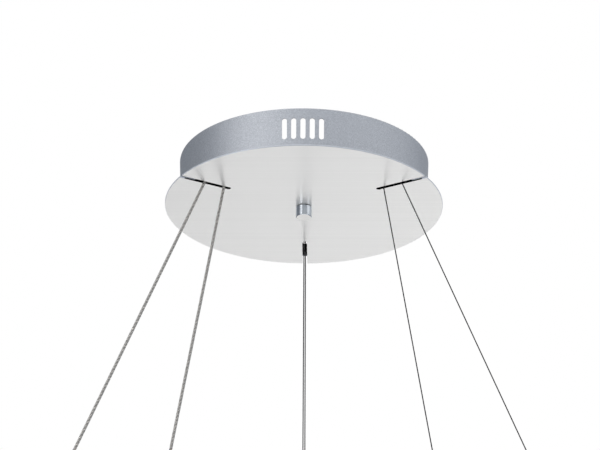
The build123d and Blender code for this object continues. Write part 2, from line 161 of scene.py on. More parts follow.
def vector_from(tree, **parts):
    """A vector from its x, y and z."""
    inputs = {axis.upper(): value for axis, value in parts.items()}
    return output_of(tree, "ShaderNodeCombineXYZ", inputs)


print("short names: calc, remap, mix_colours, combined, split, vector_from")

# %% Start a node group
number = "NodeSocketFloat"
vector = "NodeSocketVector"


def new_group(name, inputs, outputs, kind="ShaderNodeTree"):
    """An empty node group: gives its tree, its inputs to read and its outputs to feed."""
    tree = bpy.data.node_groups.new(name, kind)
    for socket, (socket_type, value) in inputs.items():
        made = tree.interface.new_socket(socket, in_out="INPUT", socket_type=socket_type)
        if value is not None:
            made.default_value = value
    for socket, socket_type in outputs.items():
        tree.interface.new_socket(socket, in_out="OUTPUT", socket_type=socket_type)
    return tree, tree.nodes.new("NodeGroupInput").outputs, tree.nodes.new("NodeGroupOutput").inputs


print("helper: new_group")

# %% [markdown]
# ## The studio
# Such a piece is lit by soft boxes, lamps behind cloth as big as doors. Area lamps could stand for
# them, but their plates show hard edges in a polished nut, and each has to be kept out of the view.
# Boxes painted on the world surround the canopy from far away and fade at their edges. One group
# draws any of them from the direction a ray leaves in.

# %% A group that draws one soft box
softbox, box_in, box_out = new_group(
    "Softbox",
    {
        "Direction": (vector, None),
        "Azimuth": (number, 0.0),
        "Elevation": (number, 0.0),
        "Half Width": (number, 0.5),
        "Half Height": (number, 0.5),
        "Edge": (number, 0.2),
        "Radiance": (number, 1.0),
    },
    {"Light": number},
)
back_turn = calc(softbox, "MULTIPLY", box_in["Azimuth"], -1.0)
faced = output_of(
    softbox,
    "ShaderNodeVectorRotate",
    {"Vector": box_in["Direction"], "Angle": back_turn},
    rotation_type="Z_AXIS",
)
x, y, z = split(softbox, faced)
sideways = calc(softbox, "ARCTAN2", x, calc(softbox, "MULTIPLY", y, -1.0))
upwards = calc(softbox, "SUBTRACT", calc(softbox, "ARCSINE", z), box_in["Elevation"])
reach = []
for angle, extent in ((sideways, "Half Width"), (upwards, "Half Height")):
    outer = calc(softbox, "ADD", box_in[extent], box_in["Edge"])
    inner = calc(softbox, "SUBTRACT", box_in[extent], box_in["Edge"])
    reach.append(remap(softbox, calc(softbox, "ABSOLUTE", angle), outer, inner, shape="SMOOTHSTEP"))
inside = calc(softbox, "MULTIPLY", reach[0], reach[1])
give(softbox, box_out["Light"], calc(softbox, "MULTIPLY", inside, box_in["Radiance"]))
print("softbox group:", len(softbox.nodes), "nodes")

# %% [markdown]
# The boxes are a bright backdrop behind, which the brushed cover mirrors, a tall key box at the front
# left, a broad weak one at the front right, two low ones that put bright bands on the cap nut, and
# one overhead for the inside of the drum. What lies between them is dim and a little blue. Rays from
# the camera itself see plain white, so the backdrop needn't be as bright as the picture's ground.

# %% Add up the boxes' light
room_light = 0.22
# name: azimuth from the front towards +X, elevation, half width, half height, soft edge (degrees),
# radiance
boxes = {
    "backdrop": (171, -22, 18, 40, 13, 1.35),
    "key": (-45, 30, 27, 34, 22, 1.07),
    "low key": (-41, -26, 13, 24, 11, 3.0),
    "low fill": (69, -26, 13, 24, 11, 2.1),
    "broad fill": (57, 34, 71, 30, 34, 0.68),
    "overhead": (0, 90, 220, 32, 16, 1.1),
}
box_angles = ("Azimuth", "Elevation", "Half Width", "Half Height", "Edge")
world = bpy.data.worlds.new("studio")
scene.world = world
world.use_nodes = True
sky = world.node_tree
sky.nodes.clear()
direction = add_node(sky, "ShaderNodeTexCoord").outputs["Generated"]
light = output_of(sky, "ShaderNodeValue")
light.default_value = room_light
for name, (*degrees, radiance) in boxes.items():
    inputs = {socket: math.radians(value) for socket, value in zip(box_angles, degrees)}
    inputs.update({"Direction": direction, "Radiance": radiance})
    drawn = output_of(sky, "ShaderNodeGroup", inputs, node_tree=softbox, label=name)
    light = calc(sky, "ADD", light, drawn)
print("world with", len(boxes), "soft boxes")

# %% Colour the light and show the camera plain white
white = (1.0, 1.0, 1.0, 1)
shade_hue = (0.87, 0.955, 1.07, 1)
full_light = 1.0
hue = mix_colours(sky, remap(sky, light, room_light, full_light), shade_hue, white)
studio = output_of(sky, "ShaderNodeBackground", {"Color": hue, "Strength": light})
ground = output_of(sky, "ShaderNodeBackground", {"Color": white, "Strength": 1.0})
seen = add_node(sky, "ShaderNodeLightPath").outputs["Is Camera Ray"]
both = output_of(sky, "ShaderNodeMixShader", {0: seen, 1: studio, 2: ground})
add_node(sky, "ShaderNodeOutputWorld", {"Surface": both})
print("world tree:", len(sky.nodes), "nodes")

# %% [markdown]
# ## Shared surface effects
# Paint, plating, plastic and brushed steel all vary a little over their surface. Pictures of such
# surfaces blur close up and repeat from afar, so three node groups serve the finishes instead: a fine
# grain, straight brush lines and a slow drift of tone. Each reads object coordinates, so nothing
# slides when a piece moves, and gives only a value, round about a half.

# %% Fine Grain: soft clumps and single flakes together
half = 0.5


def coordinates(tree, scale):
    """Object coordinates times the scale that a socket gives, a number or a vector."""
    place = add_node(tree, "ShaderNodeTexCoord").outputs["Object"]
    if scale.type == "VALUE":
        return combined(tree, "SCALE", {0: place, "Scale": scale})
    return combined(tree, "MULTIPLY", {0: place, 1: scale})


def noise(tree, place, scale, detail):
    """A Noise texture's value."""
    return output_of(tree, "ShaderNodeTexNoise", {"Vector": place, "Scale": scale, "Detail": detail})


flakes_per_clump = 1.7
grain, grain_in, grain_out = new_group(
    "Fine Grain", {"Size": (number, 0.001), "Contrast": (number, 1.0)}, {"Tone": number}
)
spots = coordinates(grain, calc(grain, "DIVIDE", 1.0, grain_in["Size"]))
clumps = noise(grain, spots, 1.0, 2.0)
cells = add_node(grain, "ShaderNodeTexVoronoi", {"Vector": spots, "Scale": flakes_per_clump})
flake = output_of(grain, "ShaderNodeSeparateColor", {0: cells.outputs["Color"]})
tone = calc(grain, "MULTIPLY", calc(grain, "ADD", clumps, flake), half)
away = calc(grain, "MULTIPLY", calc(grain, "SUBTRACT", tone, half), grain_in["Contrast"])
give(grain, grain_out["Tone"], calc(grain, "ADD", away, half))
print("group", grain.name, "has", len(grain.nodes), "nodes")

# %% Brush Lines: noise drawn out long, at two widths
wide_strokes = 0.23
brush, brush_in, brush_out = new_group(
    "Brush Lines", {"Stretch": (vector, (6.0, 1500.0, 1500.0))}, {"Tone": number}
)
strokes = coordinates(brush, brush_in["Stretch"])
fine = noise(brush, strokes, 1.0, 3.0)
coarse = noise(brush, strokes, wide_strokes, 1.0)
give(brush, brush_out["Tone"], calc(brush, "MULTIPLY", calc(brush, "ADD", fine, coarse), half))
print("group", brush.name, "has", len(brush.nodes), "nodes")

# %% Slow Drift: soft clouds
cloud_low, cloud_high = 0.3, 0.7
drift, drift_in, drift_out = new_group("Slow Drift", {"Size": (number, 0.03)}, {"Tone": number})
slow = coordinates(drift, calc(drift, "DIVIDE", 1.0, drift_in["Size"]))
give(drift, drift_out["Tone"], remap(drift, noise(drift, slow, 1.0, 3.0), cloud_low, cloud_high))
print("group", drift.name, "has", len(drift.nodes), "nodes")

# %% [markdown]
# ## The finishes
# Each of the record's material slots gets one finish, and the clear cables one more for their cores.
# Every one could be wired from scratch; these all start from the same Principled surface and say only
# what differs: colour, metal, roughness and the relief that the making leaves.

# %% Start a finish and place a shared effect
finishes = {}


def new_finish(name, metallic, **inputs):
    """Starts a material and keeps it under its name; gives its tree and its surface sockets."""
    material = bpy.data.materials.new(name + "_finish")
    material.use_nodes = True
    finishes[name] = material
    surface = material.node_tree.nodes["Principled BSDF"].inputs
    surface["Metallic"].default_value = metallic
    for socket, value in inputs.items():
        surface[socket].default_value = value
    return material.node_tree, surface


def effect(tree, group, **inputs):
    """One of the shared groups placed in a material, giving its tone."""
    fed = {name.title(): value for name, value in inputs.items()}
    return output_of(tree, "ShaderNodeGroup", fed, node_tree=group)


print("helpers: new_finish, effect")

# %% Colour, relief and direction of a surface
def tint(tree, surface, tone, dark, light, rough):
    """Colour and roughness both follow one tone, from its dark end to its light end."""
    give(tree, surface["Base Color"], mix_colours(tree, tone, (*dark, 1), (*light, 1)))
    give(tree, surface["Roughness"], remap(tree, tone, 0.0, 1.0, *rough))


def relief(tree, surface, height, strength, distance):
    """Bumps the surface by a height."""
    inputs = {"Height": height, "Strength": strength, "Distance": distance}
    give(tree, surface["Normal"], output_of(tree, "ShaderNodeBump", inputs))


def level_faces(tree):
    """1 on faces that look straight up or down, 0 on sides."""
    leaning, level = 0.9, 0.98
    normal = add_node(tree, "ShaderNodeTexCoord").outputs["Normal"]
    upright = calc(tree, "ABSOLUTE", split(tree, normal)["Z"])
    return remap(tree, upright, leaning, level)


print("helpers: tint, relief, level_faces")

# %% [markdown]
# ### Silver paint
# The drum band is steel, sprayed with a lacquer full of metal flakes, which lie at all angles under a
# satin film. One even grey would look like plastic, and flakes of one size show only from one
# distance. So two sizes of grain are added up: clumps that read from across a room, and single
# flakes that read close up. They drive colour, roughness and a slight bump alike.

# %% Silver paint
tree, surface = new_finish("silver_paint", 0.7)
clumps = effect(tree, grain, size=0.00072, contrast=3.2)
flakes = effect(tree, grain, size=0.00022, contrast=3.0)
clump_share, flake_share = 0.6, 0.4
sparkle = calc(
    tree,
    "ADD",
    calc(tree, "MULTIPLY", clumps, clump_share),
    calc(tree, "MULTIPLY", flakes, flake_share),
)
tint(tree, surface, sparkle, (0.366, 0.386, 0.423), (0.600, 0.622, 0.668), rough=(0.47, 0.37))
relief(tree, surface, sparkle, 0.25, 0.00015)
print("silver paint:", len(tree.nodes), "nodes")

# %% [markdown]
# ### Satin steel
# The cover is a stainless disc, brushed in straight strokes along X. Strokes cut into the mesh would
# take millions of faces. A noise drawn out along X tints the face instead, and an anisotropic surface
# does to the light what the strokes do: it smears reflections along Y, across them. Off the level
# faces the colour goes by the distance from the middle: the walls of the slots are near black, as
# painted shade for the dark inside of the slots, and the rim's cut edge is a darker bluish grey, as
# the painted shadow line where the cover meets the drum.

# %% Satin steel
tree, surface = new_finish("satin_steel", 1.0, Anisotropic=1.0)
brushed = effect(tree, brush, stretch=(5.0, 1500.0, 1500.0))
face = mix_colours(tree, brushed, (0.881, 0.874, 0.861, 1), (0.981, 0.974, 0.961, 1))
slot_shade_end, rim_shadow_start = 0.1435, 0.1445
place = add_node(tree, "ShaderNodeTexCoord").outputs["Object"]
across = combined(tree, "MULTIPLY", {0: place, 1: (1, 1, 0)})
distance = add_node(tree, "ShaderNodeVectorMath", {0: across}, operation="LENGTH").outputs["Value"]
# Painted shade off the level faces: near black on the slots' walls, and a darker bluish grey on the
# rim's cut edge for the shadow line along the drum.
rim = remap(tree, distance, slot_shade_end, rim_shadow_start)
edge = mix_colours(tree, rim, (0.01, 0.01, 0.012, 1), (0.68, 0.71, 0.77, 1))
give(tree, surface["Base Color"], mix_colours(tree, level_faces(tree), edge, face))
give(tree, surface["Roughness"], remap(tree, brushed, 0.0, 1.0, 0.43, 0.38))
give(tree, surface["Tangent"], vector_from(tree, y=1.0))
relief(tree, surface, brushed, 0.05, 0.0001)
print("satin steel:", len(tree.nodes), "nodes")

# %% [markdown]
# ### Bright chrome
# The cap nut and the fittings at the lines' ends are turned and chromed: bright round their sides,
# satin on the nut's end face, where the tool's marks show under the plate. Picked faces could carry a
# second material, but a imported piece's mesh is left alone, so the direction of the surface picks
# between the two looks. A slow drift keeps large faces from being quite even.

# %% Bright chrome
tree, surface = new_finish("bright_chrome", 1.0)
side_rough, end_rough = 0.14, 0.42
handled = effect(tree, drift, size=0.006)
level = level_faces(tree)
sides = mix_colours(tree, handled, (0.69, 0.74, 0.80, 1), (0.71, 0.76, 0.82, 1))
ends = mix_colours(tree, handled, (0.61, 0.605, 0.595, 1), (0.63, 0.625, 0.615, 1))
give(tree, surface["Base Color"], mix_colours(tree, level, sides, ends))
give(tree, surface["Roughness"], remap(tree, level, 0.0, 1.0, side_rough, end_rough))
print("bright chrome:", len(tree.nodes), "nodes")

# %% [markdown]
# ### Black coat
# The tray and the anchor channels are powder-coated: plastic powder baked onto the sheet, matt and
# faintly pebbled. Their near-total black is darker than the coat itself, as painted shade for the
# dark seen up through the cover's slots. The grain that the paint uses, coarser and not metallic,
# gives both the uneven black and the pebbles, so nothing new is needed.

# %% Black coat
tree, surface = new_finish("black_coat", 0.0)
powder = effect(tree, grain, size=0.0007, contrast=1.2)
# Near-total black: this is real black powder coat, made darker still as painted shade for the slots'
# dark inside.
tint(tree, surface, powder, (0.004, 0.004, 0.005), (0.012, 0.012, 0.013), rough=(0.62, 0.52))
relief(tree, surface, powder, 0.3, 0.0001)
print("black coat:", len(tree.nodes), "nodes")

# %% [markdown]
# ### Zinc plate
# The ceiling bar, studs, pins, clips, eyes, rivets and steel screws are zinc-plated, which leaves
# cloudy patches a few millimetres wide and a speckle like fine sand. The drift draws the clouds and
# the grain the speckle; a Voronoi pattern would draw the large flat crystals of hot-dipped sheet
# instead, which small plated parts don't have.

# %% Zinc plate
tree, surface = new_finish("zinc_steel", 1.0)
cloudy = effect(tree, drift, size=0.004)
tint(tree, surface, cloudy, (0.50, 0.51, 0.52), (0.68, 0.68, 0.66), rough=(0.40, 0.28))
speckle = effect(tree, grain, size=0.0005, contrast=1.0)
relief(tree, surface, speckle, 0.15, 0.00005)
print("zinc plate:", len(tree.nodes), "nodes")

# %% [markdown]
# ### Steel rope and cable cores
# The thin lines are ropes of drawn steel wire, which darkens as it is drawn. The thick ones hold two
# tinned cores, twisted round a near-black filler, painted shade for the gaps between them. A stripe
# in the material would have to follow the twist; here each strand is a shape of its own, and carries
# a number, from which it takes its tone; the tube in the middle carries none and takes the dark end.

# %% Steel rope and cable cores
for name, dark, light, rough in (
    ("steel_rope", (0.040, 0.041, 0.043), (0.080, 0.080, 0.082), (0.38, 0.28)),
    # The cable's dark end is painted shade: the filler in the middle takes it, for the gaps between
    # the cores.
    ("cable_core", (0.012, 0.011, 0.010), (0.56, 0.53, 0.49), (0.50, 0.36)),
):
    tree, surface = new_finish(name, 1.0)
    strand = add_node(tree, "ShaderNodeAttribute", attribute_name="strand").outputs["Fac"]
    tint(tree, surface, strand, dark, light, rough)
    print(name, "takes its tone from the strand's number")

# %% [markdown]
# ### Clear jacket
# The cables' jacket is soft clear plastic with a slight warm haze. Full transmission would look like
# a glass rod, and a see-through alpha wouldn't bend the cores as a lens does, so most of the light
# passes and is bent, and the rest is scattered by the surface.

# %% Clear jacket
tree, surface = new_finish("cable_jacket", 0.0, IOR=1.45)
surface["Transmission Weight"].default_value = 0.75
cloudy = effect(tree, drift, size=0.01)
tint(tree, surface, cloudy, (0.93, 0.905, 0.87), (0.97, 0.945, 0.91), rough=(0.14, 0.08))
print("clear jacket:", len(tree.nodes), "nodes")

# %% [markdown]
# ### White plastic and dark nylon
# Driver cases, terminal block and cord clamp are moulded white plastic, and the washer under the
# cover is dark nylon, which also paints the shadow line where the cap nut meets the cover. A mould is
# sandblasted, so both have a fine sandy skin and differ only in colour. One loop makes the two.

# %% White plastic and dark nylon
for name, dark, light in (
    ("white_plastic", (0.70, 0.70, 0.68), (0.78, 0.78, 0.76)),
    # The washer's near black is partly its own colour and partly a painted shadow under the cap nut.
    ("dark_nylon", (0.022, 0.022, 0.024), (0.036, 0.036, 0.038)),
):
    tree, surface = new_finish(name, 0.0)
    skin = effect(tree, grain, size=0.0006, contrast=1.0)
    tint(tree, surface, skin, dark, light, rough=(0.50, 0.40))
    relief(tree, surface, skin, 0.2, 0.00005)
    print(name + ":", len(tree.nodes), "nodes")

# %% [markdown]
# ### Brass
# The terminal screws and the earth screw with its nut are plain brass, which dulls unevenly in air. A
# slow drift between a bright and a browner brass shows that; a single metal colour would look new.

# %% Brass
tree, surface = new_finish("brass", 1.0)
dulled = effect(tree, drift, size=0.003)
tint(tree, surface, dulled, (0.62, 0.43, 0.18), (0.78, 0.58, 0.28), rough=(0.34, 0.22))
print("brass:", len(tree.nodes), "nodes")

# %% [markdown]
# ## Finishes onto pieces
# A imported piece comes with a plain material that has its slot's name. Setting each by hand would be
# slow and easy to get wrong, so the name picks the finish.

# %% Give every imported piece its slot's finish
for node in nodes.values():
    slot_name = node.material_slots[0].material.name.split(".")[0]
    node.material_slots[0].material = finishes[slot_name]
print("painted", len(nodes), "pieces with", len(finishes), "finishes")

# %% [markdown]
# ## The floor
# The canopy hangs high over a pale floor. A square plane would do, but from below its corners cut
# across the bright backdrop that the cover mirrors. A round one, not too wide, leaves the backdrop
# clear past its edge, and it lies so far down that no camera round the canopy is under it.

# %% Lay the floor
floor_drop = 6.6
floor_radius = 5.1
floor_sides = 96

floor_mesh = bpy.data.meshes.new("floor")
shaper = bmesh.new()
low = Matrix.Translation((0, 0, -floor_drop))
bmesh.ops.create_circle(shaper, cap_ends=True, segments=floor_sides, radius=floor_radius, matrix=low)
shaper.to_mesh(floor_mesh)
shaper.free()
floor = bpy.data.objects.new("floor", floor_mesh)
scene.collection.objects.link(floor)
tree, surface = new_finish("floor", 0.0)
cloudy = effect(tree, drift, size=0.4)
tint(tree, surface, cloudy, (0.76, 0.76, 0.76), (0.80, 0.80, 0.80), rough=(0.75, 0.65))
floor_mesh.materials.append(finishes["floor"])
print("floor", floor_radius * 2, "m across at", -floor_drop)

# %% [markdown]
# ## The six taut lines
# Each ring hangs on three lines: a clear cable with two twisted cores at the left, a fine steel rope
# at the right and another at the back. A tube with a striped bump would pass from afar, but its
# outline stays smooth and no strand catches the light. A geometry tree lays real strands: it copies
# the route once for each strand, winds the copies round it, and sweeps a lobed section along each,
# twisted so that the lobes read as single wires.

# %% What the rope tree takes
whole = "NodeSocketInt"
shape_socket = "NodeSocketGeometry"
material_socket = "NodeSocketMaterial"
rope, rope_in, rope_out = new_group(
    "Laid Rope",
    {
        "Route": (shape_socket, None),
        "Strands": (whole, 6),
        "Wires": (whole, 6),
        "Strand Radius": (number, 0.0002),
        "Lay Radius": (number, 0.0004),
        "Lay": (number, 0.01),
        "Step": (number, 0.001),
        "Core Radius": (number, 0.0002),
        "Jacket Radius": (number, 0.0),
        "Strand Finish": (material_socket, None),
        "Jacket Finish": (material_socket, None),
    },
    {"Rope": shape_socket},
    kind="GeometryNodeTree",
)
print("rope tree with", len(rope.interface.items_tree), "sockets")

# %% Copy the route for each strand and wind the copies round it
route = output_of(rope, "GeometryNodeMeshToCurve", {"Mesh": rope_in["Route"]})
stepped = {"Curve": route, "Length": rope_in["Step"]}
route = output_of(rope, "GeometryNodeResampleCurve", stepped, mode="LENGTH")
once_each = {"Geometry": route, "Amount": rope_in["Strands"]}
copies = add_node(rope, "GeometryNodeDuplicateElements", once_each, domain="SPLINE").outputs
share = calc(rope, "DIVIDE", copies["Duplicate Index"], rope_in["Strands"])
along = add_node(rope, "GeometryNodeSplineParameter").outputs["Length"]
turns = calc(rope, "DIVIDE", along, rope_in["Lay"])
outward = output_of(
    rope,
    "ShaderNodeVectorRotate",
    {
        "Vector": output_of(rope, "GeometryNodeInputNormal"),
        "Axis": output_of(rope, "GeometryNodeInputTangent"),
        "Angle": calc(rope, "MULTIPLY", calc(rope, "ADD", turns, share), math.tau),
    },
    rotation_type="AXIS_ANGLE",
)
offset = combined(rope, "SCALE", {0: outward, "Scale": rope_in["Lay Radius"]})
wound = output_of(rope, "GeometryNodeSetPosition", {"Geometry": copies["Geometry"], "Offset": offset})
twist = calc(rope, "MULTIPLY", turns, -math.tau)
twisted = output_of(rope, "GeometryNodeSetCurveTilt", {"Curve": wound, "Tilt": twist})
strand_number = calc(rope, "ADD", share, calc(rope, "DIVIDE", 1.0, rope_in["Strands"]))
strand_paths = output_of(
    rope,
    "GeometryNodeStoreNamedAttribute",
    {"Geometry": twisted, "Name": "strand", "Value": strand_number},
    data_type="FLOAT",
    domain="POINT",
)
print("winding:", len(rope.nodes), "nodes so far")

# %% The lobed section of a strand
def ring(tree, radius, points):
    """A circle to sweep."""
    inputs = {"Radius": radius, "Resolution": points}
    return output_of(tree, "GeometryNodeCurvePrimitiveCircle", inputs, mode="RADIUS")


between_wires = 0.82
round_section = ring(rope, rope_in["Strand Radius"], calc(rope, "MULTIPLY", rope_in["Wires"], 2.0))
odd = calc(rope, "MODULO", output_of(rope, "GeometryNodeInputIndex"), 2.0)
pinch = remap(rope, odd, 0.0, 1.0, 1.0, between_wires)
lobes = combined(rope, "SCALE", {0: output_of(rope, "GeometryNodeInputPosition"), "Scale": pinch})
section = output_of(rope, "GeometryNodeSetPosition", {"Geometry": round_section, "Position": lobes})
print("section:", len(rope.nodes), "nodes so far")

# %% Sweep the strands, the core and the jacket
def swept(tree, path, profile):
    """A closed tube of that profile along the path."""
    inputs = {"Curve": path, "Profile Curve": profile, "Fill Caps": True}
    return output_of(tree, "GeometryNodeCurveToMesh", inputs)


def together(tree, *pieces):
    """Several shapes as one."""
    join = add_node(tree, "GeometryNodeJoinGeometry")
    for piece in pieces:
        tree.links.new(piece, join.inputs[0])
    return join.outputs[0]


def finished(tree, piece, material):
    """A shape with that material all over."""
    return output_of(tree, "GeometryNodeSetMaterial", {"Geometry": piece, "Material": material})


core_sides, jacket_sides = 8, 20
strands = swept(rope, strand_paths, section)
# The middle tube has no strand number and takes the finish's dark end; in the cable, that is painted
# shade between the cores.
core = swept(rope, route, ring(rope, rope_in["Core Radius"], core_sides))
metal = finished(rope, together(rope, core, strands), rope_in["Strand Finish"])
tube = swept(rope, route, ring(rope, rope_in["Jacket Radius"], jacket_sides))
tube = finished(rope, tube, rope_in["Jacket Finish"])
jacketed = calc(rope, "GREATER_THAN", rope_in["Jacket Radius"], 0.0)
worn = {"Switch": jacketed, "True": tube}
jacket = output_of(rope, "GeometryNodeSwitch", worn, input_type="GEOMETRY")
smooth = output_of(rope, "GeometryNodeSetShadeSmooth", {"Geometry": together(rope, jacket, metal)})
give(rope, rope_out["Rope"], output_of(rope, "GeometryNodeRealizeInstances", {"Geometry": smooth}))
print("rope tree:", len(rope.nodes), "nodes")

# %% [markdown]
# The tree needs an object to run on. A modifier does that, and the mesh it makes is kept in its
# place, because the finished model carries plain meshes only.

# %% Run a geometry tree
def evaluated_mesh(obj):
    """A new mesh of the object as Blender evaluates it."""
    depsgraph = bpy.context.evaluated_depsgraph_get()
    return bpy.data.meshes.new_from_object(obj.evaluated_get(depsgraph), depsgraph=depsgraph)


def run_tree(obj, tree, values):
    """Runs a geometry tree on the object with those named inputs and keeps the mesh it makes."""
    modifier = obj.modifiers.new(tree.name, "NODES")
    modifier.node_group = tree
    for item in tree.interface.items_tree:
        if item.in_out == "INPUT" and item.name in values:
            modifier[item.identifier] = values[item.name]
    made = evaluated_mesh(obj)
    obj.modifiers.remove(modifier)
    made.name = obj.name
    obj.data = made


print("helpers: evaluated_mesh, run_tree")

# %% [markdown]
# Each line's place is read from the imported model: its direction is the axis of the mount at its end,
# and its mesh gives both ends and the diameter. The route is a NURBS spline between the ends, with its
# control points on the straight run, so the taut lines run straight.

# %% Find a line and its route
def straight_line(node, mount):
    """Start, end and diameter of a packed line, from its mesh and the axis of the mount at its end."""
    axis = Vector(mount["axis"])
    foot = Vector(mount["pos_m"])
    along = [(vertex.co - foot).dot(axis) for vertex in node.data.vertices]
    away = [((vertex.co - foot) - axis * d).length for vertex, d in zip(node.data.vertices, along)]
    return foot + axis * min(along), foot + axis * max(along), 2 * max(away)


def route_points(start, end):
    """Points along a straight route, read from a NURBS spline through its control points."""
    runs = 3
    curve = bpy.data.curves.new("route", "CURVE")
    curve.dimensions = "3D"
    spline = curve.splines.new("NURBS")
    spline.points.add(runs)
    for index, point in enumerate(spline.points):
        point.co = (*start.lerp(end, index / runs), 1)
    spline.order_u = 3
    spline.use_endpoint_u = True
    carrier = bpy.data.objects.new("route", curve)
    scene.collection.objects.link(carrier)
    points = [vertex.co.copy() for vertex in evaluated_mesh(carrier).vertices]
    bpy.data.objects.remove(carrier)
    return points


print("helpers: straight_line, route_points")

# %% Lay one line
# Radii are shares of the line's radius. The lay, one full turn of a strand, is in diameters.
line_builds = {
    "cable": {
        "strands": 2,
        "wires": 7,
        "strand": 0.24,
        "lay_radius": 0.42,
        # the middle filler, finished near black as painted shade between the two cores
        "core": 0.20,
        "lay": 2.95,
        "steps": 20,
        "finish": "cable_core",
        "slot": "cable_jacket",
    },
    "wire": {
        "strands": 6,
        "wires": 6,
        "strand": 0.345,
        "lay_radius": 0.655,
        "core": 0.40,
        "lay": 7.6,
        "steps": 16,
        "finish": "steel_rope",
        "slot": "steel_rope",
    },
}


def laid_line(name, points, diameter, build):
    """A line's strands and jacket along the points, as one object."""
    base = bpy.data.meshes.new("route")
    base.from_pydata(points, [(i, i + 1) for i in range(len(points) - 1)], [])
    line = bpy.data.objects.new(name, base)
    scene.collection.objects.link(line)
    radius = diameter / 2
    lay = build["lay"] * diameter
    run_tree(line, rope, {
        "Strands": build["strands"],
        "Wires": build["wires"],
        "Strand Radius": build["strand"] * radius,
        "Lay Radius": build["lay_radius"] * radius,
        "Core Radius": build["core"] * radius,
        "Lay": lay,
        "Step": lay / build["steps"],
        "Jacket Radius": radius if build["slot"] == "cable_jacket" else 0.0,
        "Strand Finish": finishes[build["finish"]],
        "Jacket Finish": finishes["cable_jacket"],
    })
    return line


print("builds:", ", ".join(line_builds))

# %% Lay all six and say what they are
mounts = {mount["name"]: mount for mount in frame["record"]["mounts"]}
for side, kind in (("left", "cable"), ("right", "wire"), ("far", "wire")):
    for which in ("outer", "inner"):
        node = nodes[f"{kind}_{side}_{which}"]
        start, end, diameter = straight_line(node, mounts[f"ring_stud_{side}_{which}"])
        points = route_points(start, end)
        line = laid_line(f"laid_{node.name}", points, diameter, line_builds[kind])
        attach(line, f"line_{side}_{which}")
        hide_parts(node.name)
        length_mm = round((end - start).length * 1000, 1)
        print(line.name, length_mm, "mm,", len(line.data.polygons), "faces")

# %% [markdown]
# ## The fasteners
# Screws, rivets, nuts and threaded studs are all turned on a lathe or rolled to a round shape. Each
# could be modelled and copied by hand; one geometry tree makes every kind alike. A small mesh carries
# two things into it: the outline to turn, as points in order, and the places where a copy goes. The
# tree turns the outline, trims it to a hexagon where a spanner has to fit, cuts a thread where the
# outline asks for one, sinks the driver's slots and puts a copy at each place.

# %% What the fastener tree takes
turner, turner_in, turner_out = new_group(
    "Turned Fasteners",
    {
        "Outline and Places": (shape_socket, None),
        "Segments": (whole, 48),
        "Flats": (number, 0.0),
        "Pitch": (number, 0.001),
        "Thread Depth": (number, 0.0),
        "Drive Level": (number, 0.0),
        "Drive Length": (number, 0.004),
        "Drive Width": (number, 0.001),
        "Drive Depth": (number, 0.0),
        "Cross Drive": ("NodeSocketBool", False),
        "Finish": (material_socket, None),
    },
    {"Fasteners": shape_socket},
    kind="GeometryNodeTree",
)
print("fastener tree with", len(turner.interface.items_tree), "sockets")

# %% Part the outline from the places and start a sheet to roll up
def named(name):
    """A named value of the points."""
    inputs = {"Name": name}
    return output_of(turner, "GeometryNodeInputNamedAttribute", inputs, data_type="FLOAT")


is_place = calc(turner, "GREATER_THAN", named("place"), half)
given = {"Geometry": turner_in["Outline and Places"], "Selection": is_place}
places, outline = add_node(turner, "GeometryNodeSeparateGeometry", given, domain="POINT").outputs
counted = add_node(turner, "GeometryNodeAttributeDomainSize", {"Geometry": outline}, component="MESH")
rings = counted.outputs["Point Count"]
grid = {
    "Size X": 1.0,
    "Size Y": 1.0,
    "Vertices X": calc(turner, "ADD", turner_in["Segments"], 1.0),
    "Vertices Y": rings,
}
sheet = output_of(turner, "GeometryNodeMeshGrid", grid)
at = output_of(turner, "GeometryNodeInputPosition")
on_sheet = split(turner, at)
around = calc(turner, "ADD", on_sheet["X"], half)
upwards = calc(turner, "ADD", on_sheet["Y"], half)
last_ring = calc(turner, "SUBTRACT", rings, 1.0)
ring_number = calc(turner, "ROUND", calc(turner, "MULTIPLY", upwards, last_ring))
print("sheet:", len(turner.nodes), "nodes so far")

# %% Turn the outline, with its flats and its thread
def from_outline(value, kind):
    """A value of the outline's point that makes this ring."""
    inputs = {"Geometry": outline, "Value": value, "Index": ring_number}
    return output_of(turner, "GeometryNodeSampleIndex", inputs, data_type=kind, domain="POINT")


sixth = math.tau / 6
no_flats = 0.00001
seam_gap = 0.000001
corner = split(turner, from_outline(at, "FLOAT_VECTOR"))
angle = calc(turner, "MULTIPLY", around, math.tau)
past_corner = calc(turner, "FLOORED_MODULO", calc(turner, "ADD", angle, sixth / 2), sixth)
off_flat = calc(turner, "SUBTRACT", past_corner, sixth / 2)
is_round = calc(turner, "LESS_THAN", turner_in["Flats"], no_flats)
half_flats = calc(turner, "ADD", calc(turner, "MULTIPLY", turner_in["Flats"], half), is_round)
to_flat = calc(turner, "DIVIDE", half_flats, calc(turner, "COSINE", off_flat))
trimmed = calc(turner, "MINIMUM", corner["X"], to_flat)
climb = calc(turner, "SUBTRACT", calc(turner, "DIVIDE", corner["Z"], turner_in["Pitch"]), around)
groove = calc(turner, "MULTIPLY", calc(turner, "PINGPONG", climb, half), 2.0)
cut = calc(turner, "MULTIPLY", groove, turner_in["Thread Depth"])
cut_here = calc(turner, "MULTIPLY", cut, from_outline(named("thread"), "FLOAT"))
radius = calc(turner, "SUBTRACT", trimmed, cut_here)
turned = vector_from(
    turner,
    x=calc(turner, "MULTIPLY", radius, calc(turner, "COSINE", angle)),
    y=calc(turner, "MULTIPLY", radius, calc(turner, "SINE", angle)),
    z=corner["Z"],
)
rolled = output_of(turner, "GeometryNodeSetPosition", {"Geometry": sheet, "Position": turned})
seam = {"Geometry": rolled, "Distance": seam_gap}
closed = output_of(turner, "GeometryNodeMergeByDistance", seam)
print("turning:", len(turner.nodes), "nodes so far")

